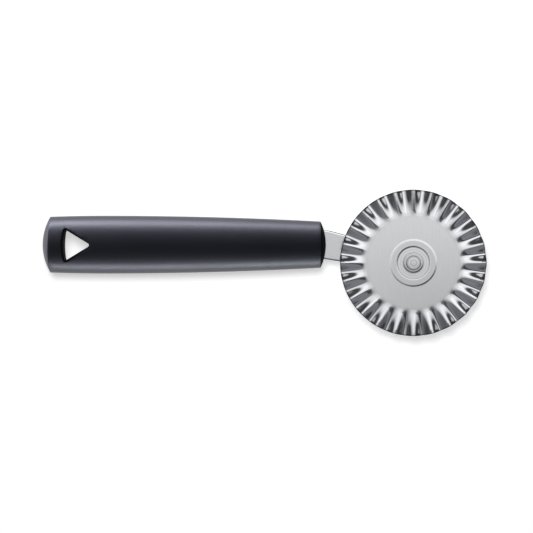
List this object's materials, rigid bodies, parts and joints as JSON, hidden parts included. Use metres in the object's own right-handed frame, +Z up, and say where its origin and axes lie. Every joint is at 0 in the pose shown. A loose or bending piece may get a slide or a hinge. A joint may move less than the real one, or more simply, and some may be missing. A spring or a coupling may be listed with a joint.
{
  "type": "pastry wheel",
  "caption": "Hand pastry wheel: a fluted sheet steel wheel spins on a rivet at the end of a flat strip, moulded into an oval black grip with a triangular hang hole.",
  "frame": {"origin": "on the table, under the middle of the tool's box, as it lies on its side with the wheel level", "axes": "+X along the grip towards the wheel, +Z up out of the wheel's front face along its axle, +Y across, on the side away from the wheel's drop"},
  "size_m": [0.1823, 0.06, 0.018],
  "materials": {
    "grip_plastic": "moulded, satin",
    "strip_steel": "ground, satin",
    "wheel_steel": "pressed sheet, satin",
    "bush_steel": "turned",
    "axle_steel": "turned, satin"
  },
  "bodies": {
    "grip": {"handle": "grip_plastic", "tang": "strip_steel", "axle_rivet": "axle_steel", "front_washer": "axle_steel", "spacer_washer": "axle_steel", "rear_washer": "axle_steel"},
    "cutter": {"wheel": "wheel_steel", "hub_bush": "bush_steel"}
  },
  "joints": [
    {"name": "wheel_spin", "type": "hinge", "parent": "grip", "child": "cutter", "pos_m": [0.06115, 0, 0], "axis": [0, 0, 1], "continuous": true}
  ]
}
